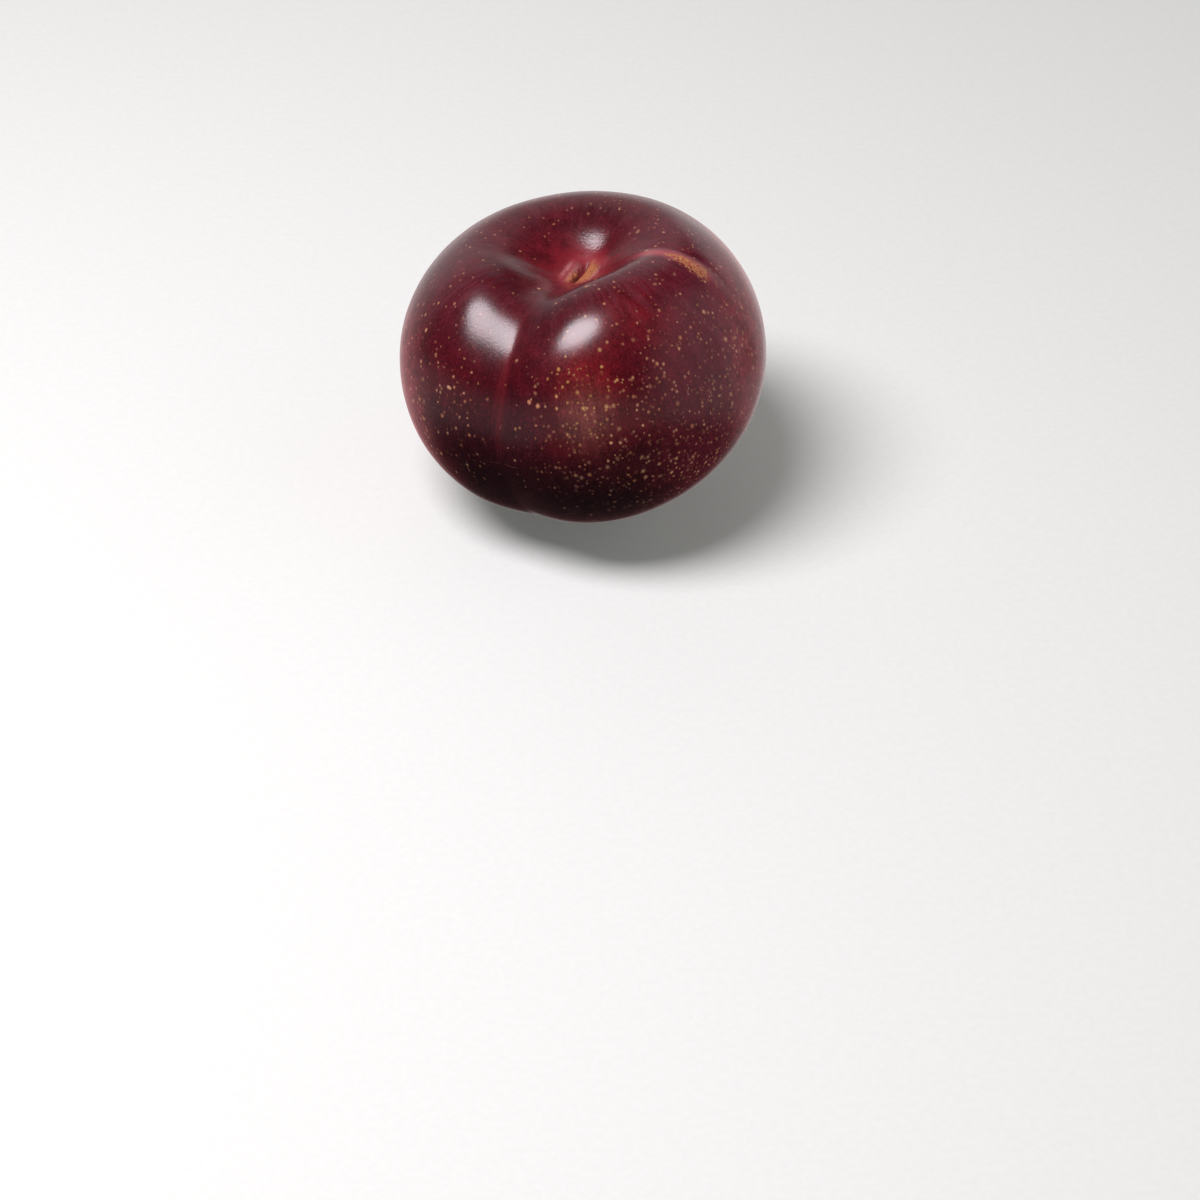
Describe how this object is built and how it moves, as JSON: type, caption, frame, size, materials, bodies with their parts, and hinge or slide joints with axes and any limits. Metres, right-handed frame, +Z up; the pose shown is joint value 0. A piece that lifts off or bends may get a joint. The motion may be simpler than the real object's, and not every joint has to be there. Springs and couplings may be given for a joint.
{
  "type": "plumcot",
  "caption": "Whole ripe plumcot, a round lobed stone fruit with a deep stem cavity and a suture, resting on a small flat spot.",
  "frame": {"origin": "middle of the fruit's box in plan, at the height of the flat spot that it rests on", "axes": "+Z up, +Y away from the side that the picture looks at, +X to that side's right; the stem end is up and leans 8.1 degrees toward -X"},
  "size_m": [0.0602, 0.0616, 0.0482],
  "materials": {
    "skin": "waxy"
  },
  "bodies": {
    "root": {"fruit": "skin"}
  },
  "joints": []
}
